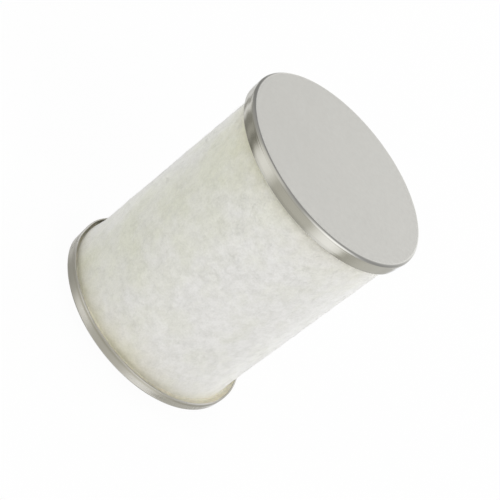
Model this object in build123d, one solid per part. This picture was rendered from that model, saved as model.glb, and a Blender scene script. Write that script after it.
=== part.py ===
from build123d import *
import math
import os

# Air line filter element: a ring of pleated medium between two slotted metal tubes, wrapped in felt and
# potted in two drawn end caps. Air enters by the mouth of the open cap and leaves through the felt.
# Lengths are in millimetres. The axis is Z, and z = 0 is the gasket's sealing face, on which it stands.

# Overall form
cap_diameter = 60.0
cap_span = 72.75             # outer face of one cap to outer face of the other

# End caps, drawn from thin stainless sheet
cap_sheet = 0.45
corner_radius = 0.9          # outside of every bend in the sheet
corner_chords = 2            # straight chords that stand for each bend
closed_rim_height = 4.0      # cap's face to the free edge of its rim
open_rim_height = 3.5

# Mouth of the open cap, which goes over the spigot of the filter head
bore_radius = 12.5
collar_length = 6.5          # cap's face to the collar's free edge

# Gasket, bonded to the open cap round its mouth
gasket_margin = 1.1          # flat of the cap between the mouth's bend and the gasket
gasket_width = 6.0
gasket_thickness = 3.0

# Wraps, from the outside to the inside
rim_gap = 1.6                # felt to the inside of the rims
felt_thickness = 3.0
liner_fit = 0.05             # felt to outer liner
liner_sheet = 0.8
media_fit = 0.2              # folds to the metal tube on either side
core_sheet = 0.6
core_fit = 0.4               # inner core to the collar inside it

# Knife pleats of the medium: one sheet, its folds pressed flat, measured along the sheet's middle
pleat_count = 32
media_sheet = 0.7
crown_width = 1.7            # flat of a fold at the outer liner
root_width = 1.3             # flat of a fold at the inner core

# Slots of the two metal tubes, punched in a staggered pattern
liner_slot_width = 4.5
liner_slot_length = 15.0
liner_slot_spacing = 11.0    # middle to middle, round the tube
core_slot_width = 3.2
core_slot_length = 11.0
core_slot_spacing = 7.2
slot_bridge = 4.0            # metal between two slots in line
plain_end = 4.5              # least metal between the slots and either end of a tube

# Potting resin
resin_floor = 0.8            # between a cap's sheet and the end of the wraps
resin_lip = 2.4              # cap's face to the top of the resin in the rim gap

# Heights that the pieces share
open_face = gasket_thickness
closed_face = open_face + cap_span
wrap_foot = open_face + cap_sheet + resin_floor
wrap_top = closed_face - cap_sheet - resin_floor

# Radii that the pieces share
cap_radius = cap_diameter / 2
rim_inside = cap_radius - cap_sheet
felt_outside = rim_inside - rim_gap
felt_inside = felt_outside - felt_thickness
liner_outside = felt_inside - liner_fit
liner_inside = liner_outside - liner_sheet
media_outside = liner_inside - media_fit
collar_outside = bore_radius + cap_sheet
core_inside = collar_outside + core_fit
core_outside = core_inside + core_sheet
media_inside = core_outside + media_fit
gasket_inside = bore_radius + corner_radius + gasket_margin
gasket_outside = gasket_inside + gasket_width


def turned(outline):
    """The solid swept about the axis by a closed outline of (radius, height) points."""
    return revolve(Plane.XZ * make_face(Polyline(*outline, close=True)), Axis.Z)


def bend(radius, height, start, end):
    """Points of a bend in the sheet, centred at a radius and height, between two angles in degrees."""
    points = []
    for chord in range(corner_chords + 1):
        angle = math.radians(start + (end - start) * chord / corner_chords)
        points.append((radius + corner_radius * math.cos(angle), height + corner_radius * math.sin(angle)))
    return points


def tube(inside, outside, foot, top):
    """A plain round tube."""
    return turned([(inside, foot), (outside, foot), (outside, top), (inside, top)])


def closed_end_cap():
    """Blank cup: a flat face and a rim turned down over the wraps."""
    edge = closed_face - closed_rim_height
    inner_face = closed_face - cap_sheet
    return turned([
        (0, inner_face),
        (rim_inside, inner_face),
        (rim_inside, edge),
        (cap_radius, edge),
        *bend(cap_radius - corner_radius, closed_face - corner_radius, 0, 90),
        (0, closed_face),
    ])


def open_end_cap():
    """Dish: a rim turned up round the wraps, and a collar drawn inwards at the mouth."""
    edge = open_face + open_rim_height
    inner_face = open_face + cap_sheet
    collar_end = open_face + collar_length
    return turned([
        *bend(bore_radius + corner_radius, open_face + corner_radius, 180, 270),
        *bend(cap_radius - corner_radius, open_face + corner_radius, 270, 360),
        (cap_radius, edge),
        (rim_inside, edge),
        (rim_inside, inner_face),
        (collar_outside, inner_face),
        (collar_outside, collar_end),
        (bore_radius, collar_end),
    ])


def closed_end_resin():
    """The puddle in the closed cap: a disc on which the wraps end, with a lip outside the felt."""
    lip = closed_face - resin_lip
    inner_face = closed_face - cap_sheet
    return turned([
        (0, wrap_top),
        (felt_outside, wrap_top),
        (felt_outside, lip),
        (rim_inside, lip),
        (rim_inside, inner_face),
        (0, inner_face),
    ])


def open_end_resin():
    """The ring in the open cap, from the collar to the rim, with a lip outside the felt."""
    lip = open_face + resin_lip
    inner_face = open_face + cap_sheet
    return turned([
        (collar_outside, inner_face),
        (rim_inside, inner_face),
        (rim_inside, lip),
        (felt_outside, lip),
        (felt_outside, wrap_foot),
        (collar_outside, wrap_foot),
    ])


def slotted_tube(inside, outside, slot_width, slot_length, slot_spacing):
    """A tube as long as the wraps, with as many rows of slots as fit between its plain ends.

    Each row starts half a slot and half a bridge above the row before, and is shifted by one space, so
    the slots of a row are two spaces apart and lie between those of its neighbours.
    """
    columns = round(math.pi * (inside + outside) / slot_spacing / 2)
    rise = (slot_length + slot_bridge) / 2
    rows = 1 + math.floor((wrap_top - wrap_foot - 2 * plain_end - slot_length) / rise)
    first = (wrap_foot + wrap_top - (rows - 1) * rise) / 2
    cutter = extrude(Plane.YZ.offset(inside / 2) * Rectangle(slot_width, slot_length), outside)
    cutters = []
    for row in range(rows):
        for column in range(columns):
            turn = 360 / columns * (column + row % 2 / 2)
            cutters.append(Pos(0, 0, first + row * rise) * Rot(0, 0, turn) * cutter)
    return tube(inside, outside, wrap_foot, wrap_top) - cutters


def mitre(one, other):
    """The way to the corner between two faces, each a unit away from its place along its own normal."""
    return (one + other) / (1 + one.dot(other))


def pleat_side(away):
    """The outline of one face of the pleated sheet, a distance outwards from the sheet's middle.

    Half a pleat is worked out, from the middle of its crown to the middle of its root, and the rest is
    that half mirrored and turned.
    """
    crown_normal = Vector(1, 0)
    root_normal = crown_normal.rotate(Axis.Z, 180 / pleat_count)
    crown = Vector(media_outside - media_sheet / 2, crown_width / 2)
    root = Vector(media_inside + media_sheet / 2, -root_width / 2).rotate(Axis.Z, 180 / pleat_count)
    flank = (root - crown).normalized()
    flank_normal = Vector(flank.Y, -flank.X)
    crown += mitre(crown_normal, flank_normal) * away
    root += mitre(flank_normal, root_normal) * away
    pleat = (Vector(root.X, -root.Y), Vector(crown.X, -crown.Y), crown, root)
    points = []
    for count in range(pleat_count):
        for corner in pleat:
            points.append(corner.rotate(Axis.Z, 360 / pleat_count * count))
    return make_face(Polyline(*points, close=True))


def pleated_media():
    """One sheet of medium, folded into a closed ring."""
    folded = pleat_side(media_sheet / 2) - pleat_side(-media_sheet / 2)
    return Pos(0, 0, wrap_foot) * extrude(folded, wrap_top - wrap_foot)


pieces = {
    "closed_end_cap": closed_end_cap(),
    "open_end_cap": open_end_cap(),
    "gasket": tube(gasket_inside, gasket_outside, 0, open_face),
    "felt_sleeve": tube(felt_inside, felt_outside, wrap_foot, wrap_top),
    "outer_liner": slotted_tube(
        liner_inside, liner_outside, liner_slot_width, liner_slot_length, liner_slot_spacing
    ),
    "pleated_media": pleated_media(),
    "inner_core": slotted_tube(
        core_inside, core_outside, core_slot_width, core_slot_length, core_slot_spacing
    ),
    "closed_end_resin": closed_end_resin(),
    "open_end_resin": open_end_resin(),
}

os.makedirs("parts", exist_ok=True)
for name, solid in pieces.items():
    export_step(solid, f"parts/{name}.step")
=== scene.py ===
"""The looks of an air line filter element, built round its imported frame.

Lengths are in metres. The axis is Z, and z = 0 is the gasket's sealing face, on which the element stands.
Azimuths run round the axis: 0 faces -Y, where the camera stands, and 90 degrees faces -X.
"""

import logging
import math
from collections.abc import Callable, Sequence
from dataclasses import dataclass
from enum import Enum

import bpy
import numpy as np
from mathutils import Matrix, Vector


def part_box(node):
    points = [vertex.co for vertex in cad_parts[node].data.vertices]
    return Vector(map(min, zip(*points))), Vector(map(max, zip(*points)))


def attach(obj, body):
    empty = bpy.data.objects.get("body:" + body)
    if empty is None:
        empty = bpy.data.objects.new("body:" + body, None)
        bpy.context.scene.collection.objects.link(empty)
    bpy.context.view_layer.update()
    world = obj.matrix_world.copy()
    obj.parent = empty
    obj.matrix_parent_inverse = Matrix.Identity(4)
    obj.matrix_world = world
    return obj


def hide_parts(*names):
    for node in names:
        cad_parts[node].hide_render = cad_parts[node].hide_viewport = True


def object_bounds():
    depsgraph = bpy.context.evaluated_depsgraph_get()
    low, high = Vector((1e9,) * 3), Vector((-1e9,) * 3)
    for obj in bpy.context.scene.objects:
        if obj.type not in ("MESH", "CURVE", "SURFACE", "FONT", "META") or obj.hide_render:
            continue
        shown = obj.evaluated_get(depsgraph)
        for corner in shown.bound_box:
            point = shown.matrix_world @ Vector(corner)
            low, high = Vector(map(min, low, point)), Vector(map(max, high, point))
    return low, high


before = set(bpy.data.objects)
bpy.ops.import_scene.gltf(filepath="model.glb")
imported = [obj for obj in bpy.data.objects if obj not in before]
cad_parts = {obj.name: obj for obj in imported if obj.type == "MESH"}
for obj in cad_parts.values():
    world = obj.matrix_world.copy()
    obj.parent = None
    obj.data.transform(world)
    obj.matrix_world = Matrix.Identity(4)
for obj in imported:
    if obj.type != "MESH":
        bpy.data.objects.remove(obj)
CAD_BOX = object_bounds()

Array = np.ndarray
Pair = tuple[float, float]
Point = tuple[float, float, float]
Colour = tuple[float, float, float]
Relief = Callable[[Array, Array, Array], tuple[Array, Array]]

MM = 0.001
ON_AXIS = 0.01 * MM                # a profile that starts within this radius starts on the axis
TURN = 2 * math.pi
MIDDLE: Pair = (0.3, 0.7)          # the range that most of a noise pattern lies in
WHITE: Colour = (1.0, 1.0, 1.0)
BLACK: Colour = (0.0, 0.0, 0.0)

# Sizes of the open cap that the frame's boxes don't give
OPEN_RIM = 3.5 * MM
BORE = 12.5 * MM
COLLAR = 6.5 * MM

log = logging.getLogger("filter_element")


class Slot(Enum):
    """Names of material slots."""

    CAP = "cap_stainless"
    TUBE = "tube_stainless"
    RUBBER = "gasket_rubber"
    FELT = "felt"
    MEDIUM = "filter_medium"
    RESIN = "potting_resin"


class End(Enum):
    """The two ends of the element, as the way from a cap's face to the wraps."""

    CLOSED = -1
    OPEN = 1


@dataclass(frozen=True)
class Extent:
    """How far a node of the frame reaches."""

    radius: float
    foot: float
    top: float

    @classmethod
    def of(cls, node: str) -> "Extent":
        """Reads a node's box from the frame."""
        low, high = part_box(node)
        return cls(high.x, low.z, high.z)


@dataclass(frozen=True)
class Bulge:
    """A place round the axis where something swells, or sinks when its size is below 0.

    Its azimuth and width are in degrees.
    """

    azimuth: float
    width: float
    size: float
    at_face: float = 0.5

    def at(self, azimuth: Array) -> Array:
        """The size times exp(-d^2), where d is the way round from the place, counted in widths."""
        away = (np.degrees(azimuth) - self.azimuth + 180) % 360 - 180
        return self.size * np.exp(-(away / self.width) ** 2)

    def on_rim(self, azimuth: Array, way: Array) -> Array:
        """The same on a cap's rim, from its share at the face, where the way is 0, to 1 at the free edge."""
        return self.at(azimuth) * (self.at_face + (1 - self.at_face) * way)


@dataclass(frozen=True)
class Clouds:
    """Soft random relief in space, between about -1 and 1."""

    pitch: float
    seed: int
    table_size: int = 64

    def at(self, points: Array) -> Array:
        """Relief at each point.

        A lattice of the given pitch holds a random number at each corner. A point mixes the eight corners
        of its cell by the smooth step 3t^2 - 2t^3 of its place t between them along each axis.

        Args:
            points: Places, with x, y and z along the last axis.

        Returns:
            One value for each point.
        """
        table = np.random.default_rng(self.seed).uniform(-1, 1, (self.table_size,) * 3)
        cells = np.asarray(points) / self.pitch
        base = np.floor(cells).astype(int)
        place = cells - base
        step = place * place * (3 - 2 * place)
        total = np.zeros(points.shape[:-1])
        for corner in np.ndindex(2, 2, 2):
            weight = np.prod(np.where(corner, step, 1 - step), axis=-1)
            x, y, z = np.moveaxis((base + corner) % self.table_size, -1, 0)
            total += weight * table[x, y, z]
        return total


@dataclass
class Shell:
    """Points and faces of a surface, worked out as arrays before they go into a mesh."""

    points: Array
    quads: Array
    triangles: Array

    @classmethod
    def of_quads(cls, points: Array, quads: Array) -> "Shell":
        """A shell with no triangles."""
        return cls(points.reshape(-1, 3), quads, np.zeros((0, 3), int))

    @classmethod
    def gathered(cls, parts: Sequence["Shell"]) -> "Shell":
        """Several shells as one, with their points kept apart.

        Args:
            parts: The shells.

        Returns:
            The whole.
        """
        shifts = np.cumsum([0, *(len(part.points) for part in parts)])
        return cls(
            np.concatenate([part.points for part in parts]),
            np.concatenate([part.quads + shift for part, shift in zip(parts, shifts)]),
            np.concatenate([part.triangles + shift for part, shift in zip(parts, shifts)]),
        )

    def volume(self) -> float:
        """The volume inside, as the sum of the tetrahedra from the origin to each triangle.

        Returns:
            The volume, which is below 0 if the shell is inside out.
        """
        halves = (self.quads[:, [0, 1, 2]], self.quads[:, [0, 2, 3]], self.triangles)
        one, two, three = np.moveaxis(self.points[np.concatenate(halves)], 1, 0)
        return float(np.einsum("ij,ij->", one, np.cross(two, three))) / 6

    def outward(self) -> "Shell":
        """The same shell with its faces pointing outwards.

        Returns:
            This shell, or a copy with its faces turned round.
        """
        if self.volume() >= 0:
            return self
        return Shell(self.points, self.quads[:, ::-1], self.triangles[:, ::-1])

    def welded(self, reach: float = 1e-7) -> "Shell":
        """The same shell with points in the same place made one.

        Args:
            reach: Length to which places are rounded before they are compared.

        Returns:
            The welded shell.
        """
        keys = np.round(self.points / reach).astype(np.int64)
        _, first, number = np.unique(keys, axis=0, return_index=True, return_inverse=True)
        number = number.reshape(-1)
        return Shell(self.points[first], number[self.quads], number[self.triangles])

    def made(self, name: str, sharp: float = 40.0) -> bpy.types.Object:
        """Puts the shell into a mesh object at the origin.

        Args:
            name: Name of the piece.
            sharp: Edges that turn by more than this many degrees stay sharp.

        Returns:
            The new object, linked to the scene.
        """
        mesh = bpy.data.meshes.new(name)
        mesh.vertices.add(len(self.points))
        mesh.vertices.foreach_set("co", self.points.astype(np.float32).ravel())
        corners = np.concatenate([self.quads.ravel(), self.triangles.ravel()]).astype(np.int32)
        starts = np.concatenate([
            np.arange(len(self.quads)) * 4,
            self.quads.size + np.arange(len(self.triangles)) * 3,
        ]).astype(np.int32)
        mesh.loops.add(len(corners))
        mesh.loops.foreach_set("vertex_index", corners)
        mesh.polygons.add(len(starts))
        mesh.polygons.foreach_set("loop_start", starts)
        mesh.polygons.foreach_set("use_smooth", np.ones(len(starts), bool))
        mesh.update(calc_edges=True)
        mesh.set_sharp_from_angle(angle=math.radians(sharp))
        piece = bpy.data.objects.new(name, mesh)
        bpy.context.scene.collection.objects.link(piece)
        return piece


def grid_faces(rows: int, columns: int, rows_close: bool, columns_close: bool) -> Array:
    """Quads between neighbouring points of a grid that is held row by row.

    Args:
        rows: Number of rows.
        columns: Number of points in a row.
        rows_close: Whether the last row joins the first.
        columns_close: Whether a row's last point joins its first.

    Returns:
        An array of four point numbers for each face.
    """
    row = np.arange(rows if rows_close else rows - 1)[:, None]
    column = np.arange(columns if columns_close else columns - 1)[None, :]
    row_after = (row + 1) % rows
    column_after = (column + 1) % columns
    corners = (
        row * columns + column,
        row * columns + column_after,
        row_after * columns + column_after,
        row_after * columns + column,
    )
    return np.stack(np.broadcast_arrays(*corners), -1).reshape(-1, 4)


def round_axis(azimuth: Array, radius: Array, height: Array) -> Array:
    """Points at an azimuth in radians: x = -radius sin(azimuth), y = -radius cos(azimuth), z = height."""
    return np.stack(np.broadcast_arrays(-radius * np.sin(azimuth), -radius * np.cos(azimuth), height), -1)


def arc(radius: float, height: float, bend: float, start: float, end: float, count: int) -> Array:
    """Points of a circle's arc in the plane of radius and height.

    Args:
        radius: Radius at which the arc is centred.
        height: Height at which the arc is centred.
        bend: Radius of the arc itself.
        start: First angle in degrees, from the outward direction.
        end: Last angle in degrees.
        count: Number of points.

    Returns:
        An array of (radius, height) pairs.
    """
    angle = np.radians(np.linspace(start, end, count))
    return np.stack([radius + bend * np.cos(angle), height + bend * np.sin(angle)], -1)


def line(start: Pair, end: Pair, count: int) -> Array:
    """Evenly spaced (radius, height) points from one place up to, but without, another."""
    return np.linspace(start, end, count, endpoint=False)


def turned(profile: Array, turns: int, relief: Relief) -> Shell:
    """A closed profile carried round the axis.

    Point (i, j) is point j of the profile, turned to azimuth i / turns of a whole turn and moved by the
    relief. A profile whose two ends lie on the axis is closed there by one point each, with a fan of
    triangles, and any other profile closes on itself.

    Args:
        profile: (radius, height) pairs.
        turns: Number of azimuths.
        relief: Gives the moved radius and height for arrays of azimuth, radius and height.

    Returns:
        The closed shell, with its faces pointing outwards.
    """
    azimuth = np.linspace(0, TURN, turns, endpoint=False)[:, None]
    has_poles = profile[0, 0] < ON_AXIS
    body = profile[1:-1] if has_poles else profile
    radius, height = body.T[:, None, :]
    radius, height = relief(azimuth, radius, height)
    points = round_axis(azimuth, radius, height).reshape(-1, 3)
    count = len(body)
    quads = grid_faces(turns, count, True, not has_poles)
    triangles = np.zeros((0, 3), int)
    if has_poles:
        poles = np.array([[0, 0, profile[0, 1]], [0, 0, profile[-1, 1]]])
        ring = np.arange(turns) * count
        after = np.roll(ring, -1)
        first = np.stack([np.full(turns, turns * count), after, ring], -1)
        last = np.stack([np.full(turns, turns * count + 1), ring + count - 1, after + count - 1], -1)
        points = np.concatenate([points, poles])
        triangles = np.concatenate([first, last])
    return Shell(points, quads, triangles).outward()


def unmoved(azimuth: Array, radius: Array, height: Array) -> tuple[Array, Array]:
    """The relief of a true turned surface: none."""
    return radius + 0 * azimuth, height + 0 * azimuth


def smooth_step(low: float, high: float, value: Array) -> Array:
    """0 below the low value, 1 above the high one, and 3t^2 - 2t^3 between them."""
    place = np.clip((value - low) / (high - low), 0, 1)
    return place * place * (3 - 2 * place)


@dataclass(frozen=True)
class Grain:
    """A noise pattern in an object's own coordinates.

    The size is that of its largest features and the detail is how many finer layers it has, each with
    the roughness as its weight. The stretch is how much longer the features are along each axis, and
    the swirl is how far they are distorted.
    """

    size: float
    detail: float
    roughness: float = 0.5
    stretch: Point = (1, 1, 1)
    swirl: float = 0.0


class Recipe:
    """A material's node tree, laid out round one principled shader."""

    def __init__(self, name: str) -> None:
        """Starts a material.

        Args:
            name: The material's name.
        """
        self.material = bpy.data.materials.new(name)
        self.material.use_nodes = True
        self.tree = self.material.node_tree
        self.shader = self.tree.nodes["Principled BSDF"]
        self.place = self.tree.nodes.new("ShaderNodeTexCoord").outputs["Object"]

    def feed(self, socket: bpy.types.NodeSocket, value: object) -> None:
        """Links a socket to another node's output, or sets a plain value on the socket itself.

        Args:
            socket: A node's input.
            value: Another node's output, or a number, a colour or a direction.
        """
        if isinstance(value, bpy.types.NodeSocket):
            self.tree.links.new(value, socket)
        elif isinstance(value, tuple) and len(value) == 3 and socket.type == "RGBA":
            socket.default_value = (*value, 1)
        else:
            socket.default_value = value

    def shade(self, **inputs: object) -> None:
        """Sets the shader's inputs; a word's underscores stand for spaces."""
        for key, value in inputs.items():
            self.feed(self.shader.inputs[key.replace("_", " ")], value)

    def add(self, kind: str, inputs: dict[str | int, object], **settings: object) -> bpy.types.Node:
        """Adds a node.

        Args:
            kind: The node's type.
            inputs: Values or sockets for its inputs, by name or number.
            **settings: The node's own properties.

        Returns:
            The new node.
        """
        node = self.tree.nodes.new(kind)
        for key, value in settings.items():
            setattr(node, key, value)
        for key, value in inputs.items():
            self.feed(node.inputs[key], value)
        return node

    def noise(self, grain: Grain) -> bpy.types.NodeSocket:
        """A noise pattern in the object's own coordinates.

        Args:
            grain: The pattern.

        Returns:
            Its value, from 0 to 1.
        """
        place = self.place
        if grain.stretch != (1, 1, 1):
            scale = tuple(1 / part for part in grain.stretch)
            place = self.add("ShaderNodeMapping", {"Vector": place, "Scale": scale}).outputs["Vector"]
        node = self.add("ShaderNodeTexNoise", {
            "Vector": place,
            "Scale": 1 / grain.size,
            "Detail": grain.detail,
            "Roughness": grain.roughness,
            "Distortion": grain.swirl,
        })
        return node.outputs["Fac"]

    def spread(self, value: bpy.types.NodeSocket, source: Pair,
               target: Pair = (0, 1)) -> bpy.types.NodeSocket:
        """Maps a value from its source range to a target range and clamps it there."""
        inputs = dict(enumerate((value, *source, *target)))
        return self.add("ShaderNodeMapRange", inputs).outputs["Result"]

    def sum(self, one: object, other: object, operation: str = "ADD") -> bpy.types.NodeSocket:
        """Two values added, or combined by another operation."""
        return self.add("ShaderNodeMath", {0: one, 1: other}, operation=operation).outputs[0]

    def between(self, factor: object, one: object, other: object) -> bpy.types.NodeSocket:
        """Two numbers mixed by a factor."""
        return self.add("ShaderNodeMix", {0: factor, 2: one, 3: other}).outputs[0]

    def blend(self, factor: object, one: object, other: object) -> bpy.types.NodeSocket:
        """Two colours mixed by a factor."""
        node = self.add("ShaderNodeMix", {0: factor, 6: one, 7: other}, data_type="RGBA")
        return node.outputs[2]

    def tinted(self, one: object, other: object) -> bpy.types.NodeSocket:
        """Two colours multiplied."""
        node = self.add("ShaderNodeMix", {0: 1.0, 6: one, 7: other}, data_type="RGBA", blend_type="MULTIPLY")
        return node.outputs[2]

    def attribute(self, name: str) -> bpy.types.NodeSocket:
        """A number that the piece's points carry."""
        return self.add("ShaderNodeAttribute", {}, attribute_name=name).outputs["Fac"]

    def bump(self, height: bpy.types.NodeSocket, distance: float,
             below: bpy.types.NodeSocket | None = None) -> bpy.types.NodeSocket:
        """The surface normal tilted by a height pattern.

        Args:
            height: The pattern, from 0 to 1.
            distance: How high the pattern's 1 stands.
            below: A normal from a coarser pattern, which this one is laid over.

        Returns:
            The normal.
        """
        inputs = {"Height": height, "Distance": distance, "Strength": 1.0}
        if below is not None:
            inputs["Normal"] = below
        return self.add("ShaderNodeBump", inputs).outputs["Normal"]


@dataclass(frozen=True)
class Panels:
    """How bright the studio looks to the metal round the horizon: (azimuth in degrees, brightness) stops."""

    stops: tuple[Pair, ...]
    blue: float = 0.97
    blue_gain: float = 0.0
    tones: tuple[Bulge, ...] = ()
    green_share: float = 0.16

    def colours(self) -> list[tuple[float, Colour]]:
        """The stops in colour.

        A panel's share of blue may rise in step with its brightness, so that dim panels are warm, and
        changes by the tones round the horizon. Its green lacks a small part of what its blue lacks.

        Returns:
            Each stop's place on the ramp, from 0 to 1, and its colour.
        """
        azimuth, value = np.array(self.stops).T
        blue = self.blue + self.blue_gain * value + sum(tone.at(np.radians(azimuth)) for tone in self.tones)
        green = 1 - self.green_share * (1 - blue)
        colours = np.stack([value, value * green, value * blue], -1)
        return list(zip((azimuth + 180) / 360, map(tuple, colours.tolist())))


class WorldRecipe(Recipe):
    """The world's node tree, laid out round its background."""

    def __init__(self) -> None:
        """Starts the world, with the ray's azimuth as 0 to 1 and its height as -1 to 1."""
        world = bpy.data.worlds.new("studio_room")
        world.use_nodes = True
        world.cycles.sampling_method = "NONE"
        bpy.context.scene.world = world
        self.tree = world.node_tree
        self.background = self.tree.nodes["Background"]
        direction = self.tree.nodes.new("ShaderNodeTexCoord").outputs["Generated"]
        parts = self.add("ShaderNodeSeparateXYZ", {0: direction}).outputs
        x = self.sum(parts["X"], -1.0, "MULTIPLY")
        y = self.sum(parts["Y"], -1.0, "MULTIPLY")
        self.azimuth = self.spread(self.sum(x, y, "ARCTAN2"), (-math.pi, math.pi))
        self.height = parts["Z"]

    def ring(self, panels: Panels) -> bpy.types.NodeSocket:
        """A ring of panels as a colour ramp round the horizon.

        Args:
            panels: The panels.

        Returns:
            Their colour in the direction of the ray.
        """
        node = self.add("ShaderNodeValToRGB", {0: self.azimuth})
        elements = node.color_ramp.elements
        while len(elements) > 1:
            elements.remove(elements[-1])
        (elements[0].position, first), *rest = panels.colours()
        elements[0].color = (*first, 1)
        for position, colour in rest:
            elements.new(position).color = (*colour, 1)
        return node.outputs["Color"]

    def finish(self, colour: bpy.types.NodeSocket) -> None:
        """Gives the background its colour."""
        self.feed(self.background.inputs["Color"], colour)


@dataclass(frozen=True)
class Stainless:
    """Thin stainless sheet: matt as rolled on its flats, and burnished where a die has drawn it."""

    name: str
    colour: Colour = (0.615, 0.612, 0.597)
    dulled: float = 0.955
    matt: float = 0.42
    burnished: float = 0.13
    drawn: float | str = "drawn"
    film_and_shade: float | str = 0.0
    # tint of a resin film on the open cap's rim, also used as painted shade on one patch of its free edge
    film_and_shade_tint: Colour = (0.70, 0.69, 0.63)
    patches: Grain = Grain(13 * MM, 3, 0.55, swirl=0.4)
    patch_range: Pair = (0.35, 0.65)
    patch_roughness: Pair = (-0.02, 0.02)
    rubbing: Grain = Grain(1.1 * MM, 3, 0.6)
    rubbing_roughness: Pair = (-0.025, 0.035)
    rubbing_depth: float = 0.004 * MM
    draw_lines: Grain = Grain(0.7 * MM, 3, 0.7, stretch=(30, 30, 1))
    draw_line_depth: float = 0.03 * MM
    rolling: Grain = Grain(0.22 * MM, 2, 0.6, stretch=(14, 1, 1))
    rolling_depth: float = 0.0012 * MM

    def material(self) -> bpy.types.Material:
        """Makes the finish; where drawn or film_and_shade is text, it names the attribute that holds it.

        Returns:
            The material.
        """
        recipe = Recipe(self.name)
        drawn = recipe.attribute(self.drawn) if isinstance(self.drawn, str) else self.drawn
        film_and_shade = recipe.attribute(self.film_and_shade) if isinstance(self.film_and_shade, str) else self.film_and_shade
        patches = recipe.noise(self.patches)
        rubbing = recipe.noise(self.rubbing)
        dull = tuple(part * self.dulled for part in self.colour)
        clean = recipe.blend(recipe.spread(patches, self.patch_range), dull, self.colour)
        mean = recipe.between(film_and_shade, recipe.between(drawn, self.matt, self.burnished), self.matt)
        spotty = recipe.sum(mean, recipe.spread(rubbing, MIDDLE, self.rubbing_roughness))
        worn = recipe.bump(rubbing, self.rubbing_depth)
        worn = recipe.bump(recipe.noise(self.draw_lines), self.draw_line_depth, worn)
        recipe.shade(
            Base_Color=recipe.tinted(clean, recipe.blend(film_and_shade, WHITE, self.film_and_shade_tint)),
            Metallic=1.0,
            Roughness=recipe.sum(spotty, recipe.spread(patches, MIDDLE, self.patch_roughness)),
            Normal=recipe.bump(recipe.noise(self.rolling), self.rolling_depth, worn),
        )
        return recipe.material


@dataclass(frozen=True)
class Felt:
    """Needled polyester felt, faintly mottled, with painted greenish shade on its dim side, and soaked tan at
    its ends.
    """

    white: Colour = (0.84, 0.832, 0.81)
    shade: Colour = (0.675, 0.67, 0.635)
    # painted greenish shade of the felt's dim side
    dim_side_shade: Colour = (0.95, 0.965, 0.85)
    soaked: Colour = (0.91, 0.88, 0.74)
    flocks: Grain = Grain(2.4 * MM, 4, 0.72, swirl=0.15)
    flock_range: Pair = (0.28, 0.6)
    flock_share: float = 0.65
    flock_depth: float = 0.12 * MM
    specks: Grain = Grain(0.55 * MM, 2, 0.6)
    speck_range: Pair = (0.3, 0.65)
    drifts: Grain = Grain(8 * MM, 3, 0.55)
    drift_range: Pair = (0.35, 0.65)
    uneven_dim_side: Pair = (-0.22, 0.3)
    fibres: Grain = Grain(0.16 * MM, 3, 0.65, swirl=1.2)
    fibre_depth: float = 0.05 * MM

    def material(self) -> bpy.types.Material:
        """Makes the finish: the mottled white, multiplied by the painted greenish shade of the dim side and
        by the tint of the soak.

        Returns:
            The material.
        """
        recipe = Recipe("felt_sleeve_fibre")
        flocks = recipe.noise(self.flocks)
        mottled = recipe.sum(
            recipe.spread(flocks, self.flock_range, (0, self.flock_share)),
            recipe.spread(recipe.noise(self.specks), self.speck_range, (0, 1 - self.flock_share)),
        )
        base = recipe.blend(mottled, self.shade, self.white)
        # painted greenish shade on the dim side, made uneven by slow drifts
        drifts = recipe.spread(recipe.noise(self.drifts), self.drift_range, self.uneven_dim_side)
        dim_side = recipe.spread(recipe.sum(recipe.attribute("dim_side_shade"), drifts), (0, 1))
        base = recipe.tinted(base, recipe.blend(dim_side, WHITE, self.dim_side_shade))
        base = recipe.tinted(base, recipe.blend(recipe.attribute("soaked"), WHITE, self.soaked))
        recipe.shade(
            Base_Color=base,
            Roughness=0.95,
            Specular_IOR_Level=0.12,
            Sheen_Weight=1.0,
            Sheen_Roughness=0.45,
            Normal=recipe.bump(
                recipe.noise(self.fibres), self.fibre_depth, recipe.bump(flocks, self.flock_depth),
            ),
        )
        return recipe.material


@dataclass(frozen=True)
class LooseFibre:
    """Single polyester fibres that stand off the felt."""

    colour: Colour = (0.83, 0.83, 0.80)
    dull: Colour = (0.7719, 0.7719, 0.744)
    tint: Grain = Grain(5 * MM, 1)

    def material(self) -> bpy.types.Material:
        """Makes the finish.

        Returns:
            The material.
        """
        recipe = Recipe("loose_felt_fibre")
        recipe.shade(
            Base_Color=recipe.blend(recipe.noise(self.tint), self.dull, self.colour),
            Roughness=0.6,
            Sheen_Weight=0.1,
        )
        return recipe.material


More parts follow.
